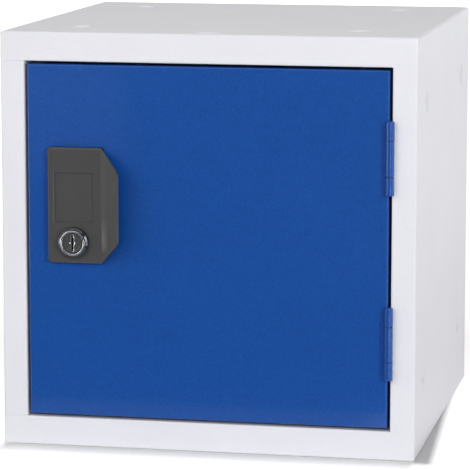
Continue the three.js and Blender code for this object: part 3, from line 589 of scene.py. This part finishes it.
def seam_section(sink):
    """A seam's rounded outer line and the line under it, as distances in from the body's side and top."""
    across, up = SEAM_REACH, SEAM_DROP
    outer = [(across + SEAM_RUN_ON, SEAM_FLUSH)]
    inner = [(across + SEAM_RUN_ON, SEAM_SKIN)]
    for step in range(SEAM_STEPS + 1):
        angle = math.pi / 2 * step / SEAM_STEPS
        sine, cosine = math.sin(angle), math.cos(angle)
        outer.append((across * (1 - sine), up * (1 - cosine)))
        inner.append((across - (across - SEAM_SKIN) * sine, up - (up - SEAM_SKIN) * cosine))
    outer.append((SEAM_FLUSH, up + SEAM_RUN_ON))
    inner.append((SEAM_SKIN, up + SEAM_RUN_ON))
    return [(x + sink, z + sink) for x, z in outer + inner[::-1]]


def seam_places():
    """Where the seam's sections stand along y, and how far each sinks in at the rounded ends."""
    front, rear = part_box("top_panel")[0].y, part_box("back_panel")[1].y - REAR_COVER
    ends = [
        (FOLD * (1 - along), FOLD * (1 - math.sqrt(1 - along * along)))
        for along in SEAM_END_SHARES
    ]
    places = [(front + inward, sink) for inward, sink in ends]
    return places + [(rear - inward, sink) for inward, sink in reversed(ends)]


def make_seams():
    """The filled and painted seams where the side panels' cut edges meet the top's and bottom's folds."""
    places = seam_places()
    count = len(seam_section(0.0))
    side_low, side_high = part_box("left_side_panel")[0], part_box("right_side_panel")[1]
    top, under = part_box("top_panel")[1].z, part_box("bottom_panel")[0].z
    for side, x_edge, inward in (("left", side_low.x, 1.0), ("right", side_high.x, -1.0)):
        for level, z_edge, down in (("top", top, -1.0), ("bottom", under, 1.0)):
            points, faces = [], []
            for y, sink in places:
                points += [(x_edge + inward * x, y, z_edge + down * z) for x, z in seam_section(sink)]
            for row in range(len(places) - 1):
                faces += ring_of_faces(row, row + 1, count)
            faces += end_faces(len(places), count)
            title = f"{side}_{level}_seam"
            mesh = bpy.data.meshes.new(title)
            mesh.from_pydata(points, [], faces)
            mesh.materials.append(FINISHES["body_paint"])
            smooth_faces(mesh)
            seam = new_object(title, mesh, "body_paint", "carcass")
            crease(seam, SEAM_CREASE)


# The lock's detailed pieces

RING_HEIGHT = 5.5 * MM
RING_FRONT = BARREL_LOW.y
BARREL_BACK = BARREL_HIGH.y
HOUSING_FACE = RING_FRONT + RING_HEIGHT
DOOR_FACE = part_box("door_pan")[0].y
PLUG_LOW, PLUG_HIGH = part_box("lock_plug")
PLUG_FACE = PLUG_LOW.y
PLUG_BACK = PLUG_HIGH.y
CAM_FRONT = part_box("lock_cam")[0].y

LOCK_SIDES = 96
ROUND_STEPS = 8
# Finish numbers: the chrome, then its painted-shade copies.
BRIGHT, DARK, SHADED = 0, 1, 2


def turned_mesh(name, rows, sides, materials, closed=True):
    """A shape turned about the lock's axis. A row is (radius, y, material); both may go by angle."""
    points, faces, finishes = [], [], []
    for radius, y, _ in rows:
        for i in range(sides):
            angle = math.tau * (i + 0.5) / sides
            reach = radius(angle) if callable(radius) else radius
            points.append((LOCK_X + reach * math.cos(angle), y, LOCK_Z + reach * math.sin(angle)))
    for row in range(len(rows) if closed else len(rows) - 1):
        faces += ring_of_faces(row, (row + 1) % len(rows), sides)
        finish = rows[row][2]
        for i in range(sides):
            finishes.append(finish(math.tau * (i + 1.0) / sides) if callable(finish) else finish)
    if not closed:
        faces += end_faces(len(rows), sides)
        finishes += [rows[0][2], rows[-1][2]]
    mesh = bpy.data.meshes.new(name)
    mesh.from_pydata(points, [], faces)
    for material in materials:
        mesh.materials.append(material)
    mesh.polygons.foreach_set("material_index", finishes)
    smooth_faces(mesh)
    return mesh


def rounded(middle, half, y, crown, material):
    """Rows over a rounded rim, from its inside to its outside."""
    rows = []
    for step in range(ROUND_STEPS + 1):
        angle = math.pi * step / ROUND_STEPS
        rows.append((middle - half * math.cos(angle), y + crown * (1 - math.sin(angle)), material))
    return rows


# Lengths along the barrel are measured from the ring, the door's face or the barrel's back.
THREAD_PITCH = 1.0 * MM
THREAD_DEPTH = 0.5 * MM
THREAD_STEPS = 6
THREAD_RADIUS = 9.5 * MM
THREAD_FRONT = 1.0 * MM
THREAD_BACK = 0.6 * MM
NECK_BACK = 0.9 * MM
FLATS = 8.0 * MM
TIP_RADIUS = 8.9 * MM
TIP_BORE = 7.0 * MM
BORE_BACK = 0.5 * MM
BARREL_CREASE = 34.0


def flatted(radius, phase=None):
    """A radius cut by two flats, with a thread's groove where a phase is given."""
    def at(angle):
        reach = radius
        if phase is not None:
            turn = (phase + angle / math.tau) % 1.0
            reach -= THREAD_DEPTH * (1.0 - abs(2.0 * turn - 1.0))
        side = abs(math.sin(angle))
        return min(reach, FLATS / side) if side * radius > FLATS else reach
    return at


FLANK_TURN = -0.2


def flank(angle):
    """The head's flank has a painted-shade copy of the chrome towards the hinges, a deeper one elsewhere."""
    return DARK if math.cos(angle) > FLANK_TURN else SHADED


# Outlines in millimetres: radius, distance behind the ring's front, finish.
BORE_ROWS = ((6.5, 3.8, DARK), (7.5, 3.8, DARK), (7.5, 0.75, DARK), (7.75, 0.5, BRIGHT))
RING_MIDDLE = 8.5 * MM
RING_HALF = 0.7 * MM
RING_CROWN = 0.45 * MM
HEAD_ROWS = (
    (9.22, 0.6, DARK),
    (9.3, 1.1, flank), (9.55, 1.5, flank), (9.65, 1.57, flank),
    (10.85, 2.39, flank), (10.95, 2.46, flank), (11.15, 2.9, flank),
    (11.25, 3.6, DARK),
)


def rows_behind(front, outline):
    """An outline's rows in metres, with its distances counted back from a front face."""
    return [(radius * MM, front + behind * MM, finish) for radius, behind, finish in outline]


def make_barrel():
    bore, head = rows_behind(RING_FRONT, BORE_ROWS), rows_behind(RING_FRONT, HEAD_ROWS)
    rows = [(bore[0][0], BARREL_BACK - BORE_BACK, DARK)]
    rows += bore
    rows += rounded(RING_MIDDLE, RING_HALF, RING_FRONT, RING_CROWN, BRIGHT)
    rows += head
    rows += [
        (head[-1][0], HOUSING_FACE, DARK),
        (flatted(THREAD_RADIUS), HOUSING_FACE, BRIGHT),
        (flatted(THREAD_RADIUS), DOOR_FACE + NECK_BACK, BRIGHT),
    ]
    start, end = DOOR_FACE + THREAD_FRONT, BARREL_BACK - THREAD_BACK
    count = int((end - start) / THREAD_PITCH * THREAD_STEPS)
    for step in range(count + 1):
        y = start + (end - start) * step / count
        rows.append((flatted(THREAD_RADIUS, (y - start) / THREAD_PITCH), y, BRIGHT))
    rows += [(flatted(TIP_RADIUS), BARREL_BACK, BRIGHT), (TIP_BORE, BARREL_BACK, BRIGHT)]
    materials = [FINISHES["lock_chrome"], CHROME_IN_SHADE, CHROME_IN_DEEPER_SHADE]
    mesh = turned_mesh("barrel", rows, LOCK_SIDES, materials)
    crease(new_object("barrel", mesh, "lock_chrome", "door", "lock_barrel"), BARREL_CREASE)


KEYWAY_HALF = 0.85 * MM
KEYWAY_HALF_TALL = 5.6 * MM
KEYWAY_BULGE = 1.0 * MM
BULGE_SHINE = 0.45
TINY = 1e-6


def keyway(grow, bulge_grow):
    """The keyway's outline: an upright slot with a round bulge in its middle."""
    half, tall, bulge = KEYWAY_HALF + grow, KEYWAY_HALF_TALL + grow, KEYWAY_BULGE + bulge_grow

    def at(angle):
        across, up = abs(math.cos(angle)), abs(math.sin(angle))
        slot = min(half / max(across, TINY), tall / max(up, TINY))
        return max(slot, bulge)
    return at


def square(half):
    """The outline of the plug's square tail."""
    def at(angle):
        return half / max(abs(math.cos(angle)), abs(math.sin(angle)))
    return at


def keyway_rim_painted_highlight(angle):
    """The keyway's rim: bright chrome as a painted highlight at its right edge and the bulge's ends, shaded
    elsewhere.
    """
    return BRIGHT if math.cos(angle) > 0.0 or abs(math.sin(angle)) < BULGE_SHINE else DARK


# In millimetres: growth of the slot and of its bulge, distance behind the plug's face, finish.
KEYWAY_ROWS = (
    (-0.15, -0.15, 7.0, DARK), (-0.1, -0.1, 0.9, DARK), (-0.05, -0.05, 0.6, DARK),
    (0.0, 0.49, 0.3, keyway_rim_painted_highlight), (0.4, 0.95, 0.0, DARK), (0.55, 1.1, 0.06, DARK),
)
# In millimetres: radius, distance behind the plug's face, finish.
FACE_ROWS = (
    (6.35, 0.16, DARK), (6.6, 0.06, DARK), (7.1, 0.14, DARK), (7.35, 0.5, DARK),
    (7.4, 3.0, DARK), (6.4, 3.0, DARK),
)
STEM_END = 0.05 * MM
TAIL_HALF = 3.8 * MM
TAIL_TIP_HALF = 3.6 * MM
TAIL_CHAMFER = 0.2 * MM
SCREW_HOLE = 2.5 * MM
SCREW_HOLE_DEPTH = 5.9 * MM
PLUG_CREASE = 40.0


def make_plug():
    rows = [
        (keyway(grow * MM, bulge_grow * MM), PLUG_FACE + behind * MM, finish)
        for grow, bulge_grow, behind, finish in KEYWAY_ROWS
    ]
    rows += rows_behind(PLUG_FACE, FACE_ROWS)
    rows += [
        (rows[-1][0], CAM_FRONT - STEM_END, BRIGHT),
        (square(TAIL_HALF), CAM_FRONT - STEM_END, BRIGHT),
        (square(TAIL_HALF), PLUG_BACK - TAIL_CHAMFER, BRIGHT),
        (square(TAIL_TIP_HALF), PLUG_BACK, BRIGHT),
        (SCREW_HOLE, PLUG_BACK, BRIGHT),
        (SCREW_HOLE, PLUG_BACK - SCREW_HOLE_DEPTH, BRIGHT),
    ]
    materials = [FINISHES["lock_chrome"], WORN_SHADED_FACE]
    mesh = turned_mesh("plug", rows, LOCK_SIDES * 2, materials, closed=False)
    crease(new_object("plug", mesh, "lock_chrome", "lock_core", "lock_plug"), PLUG_CREASE)


# Light and floor

def split_by_ray(tree, lights, seen):
    """One shader for the rays that carry light, another for those that see: camera, glossy, transmission."""
    path = tree.nodes.new("ShaderNodeLightPath").outputs
    sees = Fields(tree).most(*(path[f"Is {kind} Ray"] for kind in ("Camera", "Glossy", "Transmission")))
    mix = tree.nodes.new("ShaderNodeMixShader")
    for socket, source in zip(mix.inputs, (sees, lights.outputs[0], seen.outputs[0])):
        tree.links.new(source, socket)
    return mix.outputs[0]


SKY = 0.19
WHITE = (1.0, 1.0, 1.0, 1.0)


def make_world():
    world = bpy.data.worlds.new("studio")
    scene.world = world
    tree = bare_tree(world)
    out = tree.nodes.new("ShaderNodeOutputWorld")
    light, white = tree.nodes.new("ShaderNodeBackground"), tree.nodes.new("ShaderNodeBackground")
    for background, strength in ((light, SKY), (white, 1.0)):
        background.inputs["Color"].default_value = WHITE
        background.inputs["Strength"].default_value = strength
    tree.links.new(split_by_ray(tree, light, white), out.inputs["Surface"])


FLOOR_HALF = 14.0
FLOOR_GREY = 0.85
# The floor glows less near the object, so that its shadow shows, and is plain white further out.
FLOOR_GLOW = 0.6
GLOW_NEAR = 0.35
GLOW_FAR = 1.3
# The shadow's reach ahead of the foot, its width beside it, and how that tapers to its end.
FRONT_SHADOW = (3.0 * MM, 25.0 * MM)
SIDE_SHADOW = 13.0 * MM
SIDE_SHADOW_END = 0.045
SIDE_SHADOW_TAPER = 0.062
SHADOW_SOFT = 6.0 * MM
SHADOW_DEPTH = 0.18
BEHIND_SHARE = 0.5
FOOT_LOW, FOOT_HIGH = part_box("bottom_panel")


def floor_shadow(tree, where):
    """1 where the floor lies in the object's soft shadow, and the right-hand part of it alone."""
    fields = Fields(tree)
    ramp = fields.ramp
    place = tree.nodes.new("ShaderNodeSeparateXYZ")
    tree.links.new(where, place.inputs[0])
    x, y, _ = place.outputs
    ahead = fields.math("SUBTRACT", FOOT_LOW.y, y)
    beside = fields.math("SUBTRACT", x, FOOT_HIGH.x)
    off_middle = fields.math("ABSOLUTE", x)
    front = fields.product(
        ramp(ahead, FRONT_SHADOW[1], FRONT_SHADOW[0]),
        ramp(off_middle, FOOT_HIGH.x + SHADOW_SOFT / 2, FOOT_HIGH.x - SHADOW_SOFT / 2),
        ramp(y, FOOT_HIGH.y * BEHIND_SHARE, 0.0),
    )
    taper = fields.product(fields.math("SUBTRACT", SIDE_SHADOW_END, y), SIDE_SHADOW_TAPER)
    inside = fields.math("SUBTRACT", fields.math("MINIMUM", taper, SIDE_SHADOW), beside)
    side = fields.product(
        ramp(inside, -SHADOW_SOFT / 2, SHADOW_SOFT / 2),
        ramp(ahead, SHADOW_SOFT * 2, 0.0),
        ramp(beside, -SHADOW_SOFT, 0.0),
    )
    return fields.most(front, side), side


def floor_material():
    """White to the camera, greyer to the light, with a soft shadow painted round the object's foot."""
    material = bpy.data.materials.new("floor")
    tree = bare_tree(material)
    nodes, links, fields = tree.nodes, tree.links, Fields(tree)
    out = nodes.new("ShaderNodeOutputMaterial")
    plain = nodes.new("ShaderNodeBsdfDiffuse")
    glow = nodes.new("ShaderNodeEmission")
    where = nodes.new("ShaderNodeTexCoord").outputs["Object"]
    far = nodes.new("ShaderNodeVectorMath")
    far.operation = "LENGTH"
    links.new(where, far.inputs[0])
    spread = nodes.new("ShaderNodeMapRange")
    spread.inputs["From Min"].default_value = GLOW_NEAR
    spread.inputs["From Max"].default_value = GLOW_FAR
    spread.inputs["To Min"].default_value = FLOOR_GLOW
    spread.inputs["To Max"].default_value = 1.0
    links.new(far.outputs["Value"], spread.inputs["Value"])
    shadow, side = floor_shadow(tree, where)
    grey = fields.math("MULTIPLY_ADD", side, -SHADOW_DEPTH * FLOOR_GREY, FLOOR_GREY)
    links.new(grey, plain.inputs["Color"])
    lit = fields.product(spread.outputs[0], fields.math("SUBTRACT", 1.0, shadow))
    links.new(lit, glow.inputs["Strength"])
    both = nodes.new("ShaderNodeAddShader")
    links.new(plain.outputs[0], both.inputs[0])
    links.new(glow.outputs[0], both.inputs[1])
    links.new(split_by_ray(tree, plain, both), out.inputs["Surface"])
    return material


def four_sided(name, corners, material):
    """A flat object with one face."""
    mesh = bpy.data.meshes.new(name)
    mesh.from_pydata(corners, [], [(0, 1, 2, 3)])
    mesh.materials.append(material)
    return add_to_scene(name, mesh)


def make_floor():
    signs = ((-1, -1), (1, -1), (1, 1), (-1, 1))
    corners = [(x * FLOOR_HALF, y * FLOOR_HALF, cad_low.z) for x, y in signs]
    floor = four_sided("floor", corners, floor_material())


# The point that every lamp faces, and stands off from.
AIM = Vector((0.0, -0.05, 0.15))
LAMPS = {
    # name: (azimuth from the door's normal, elevation, distance, width, height, watts)
    "left_light": (-38.0, 22.0, 6.4, 4.8, 4.0, 138.0),
    "front_light": (8.0, 22.0, 6.4, 3.2, 3.2, 80.0),
    "right_light": (46.0, 12.0, 5.0, 0.6, 0.8, 94.0),
    "side_light": (92.0, 2.0, 3.0, 1.6, 0.45, 7.0),
    "top_light": (0.0, 62.0, 6.0, 3.2, 3.2, 10.0),
    "back_light": (180.0, 3.0, 6.4, 3.0, 0.8, 150.0),
}
UNMIRRORED_LAMPS = ("right_light", "side_light", "back_light")
# Boards seen only in reflections: their glow and four corners each.
BOARDS = {
    "front_board": (0.02, [
        (-0.17, -0.6, 0.0), (0.9, -0.6, 0.0), (0.9, -0.6, 0.62), (-0.17, -0.6, 0.62),
    ]),
    "front_low_board": (0.02, [
        (-0.66, -0.6, 0.0), (-0.17, -0.6, 0.0), (-0.17, -0.6, 0.14), (-0.66, -0.6, 0.14),
    ]),
    "front_left_board": (0.25, [
        (-0.66, -0.6, 0.14), (-0.17, -0.6, 0.14), (-0.17, -0.6, 0.62), (-0.66, -0.6, 0.62),
    ]),
    "upper_board": (0.75, [
        (-0.9, -0.9, 1.0), (0.9, -0.9, 1.0), (0.9, 0.3, 1.0), (-0.9, 0.3, 1.0),
    ]),
    "low_board": (0.02, [
        (-0.66, -0.6, 0.001), (0.26, -0.6, 0.001), (0.26, -0.3, 0.001), (-0.66, -0.3, 0.001),
    ]),
    "near_board": (0.5, [
        (-0.3, -0.3, 0.001), (0.1, -0.3, 0.001), (0.1, -0.17, 0.001), (-0.3, -0.17, 0.001),
    ]),
    "right_card": (8.0, [
        (0.23, -0.436, 0.0), (0.26, -0.414, 0.0), (0.26, -0.414, 0.34), (0.23, -0.436, 0.34),
    ]),
    "rear_board": (3.6, [
        (-0.5, 0.55, 1.15), (0.25, 0.55, 1.15), (0.25, 0.9, 0.85), (-0.5, 0.9, 0.85),
    ]),
    "fold_board": (2.2, [
        (0.15, 1.2, 0.45), (0.5, 1.1, 0.45), (0.5, 1.1, 0.75), (0.15, 1.2, 0.75),
    ]),
    "left_card": (3.6, [
        (-0.8, -0.5, 0.0), (-0.8, -0.1, 0.0), (-0.8, -0.1, 0.22), (-0.8, -0.5, 0.22),
    ]),
}


def make_lamps():
    for name, (azimuth, elevation, distance, width, height, watts) in LAMPS.items():
        data = bpy.data.lights.new(name, "AREA")
        data.shape = "RECTANGLE"
        data.size = width
        data.size_y = height
        data.energy = watts
        lamp = add_to_scene(name, data)
        around, up = math.radians(azimuth), math.radians(elevation)
        level = math.cos(up)
        away = Vector((math.sin(around) * level, -math.cos(around) * level, math.sin(up)))
        turn = (-away).to_track_quat("-Z", "Y").to_matrix().to_4x4()
        lamp.matrix_world = Matrix.Translation(AIM + away * distance) @ turn
        lamp.visible_camera = False
        lamp.visible_glossy = name not in UNMIRRORED_LAMPS


def make_boards():
    for name, (glow, corners) in BOARDS.items():
        material = bpy.data.materials.new(name)
        tree = bare_tree(material)
        out = tree.nodes.new("ShaderNodeOutputMaterial")
        light = tree.nodes.new("ShaderNodeEmission")
        light.inputs["Strength"].default_value = glow
        tree.links.new(light.outputs[0], out.inputs["Surface"])
        board = four_sided(name, corners, material)
        for kind in ("camera", "diffuse", "transmission", "volume_scatter", "shadow"):
            setattr(board, "visible_" + kind, False)


scene.view_settings.view_transform = "Standard"
make_camera()
make_seams()
make_barrel()
make_plug()
make_world()
make_floor()
make_lamps()
make_boards()
finish_nodes()
soften_nodes()
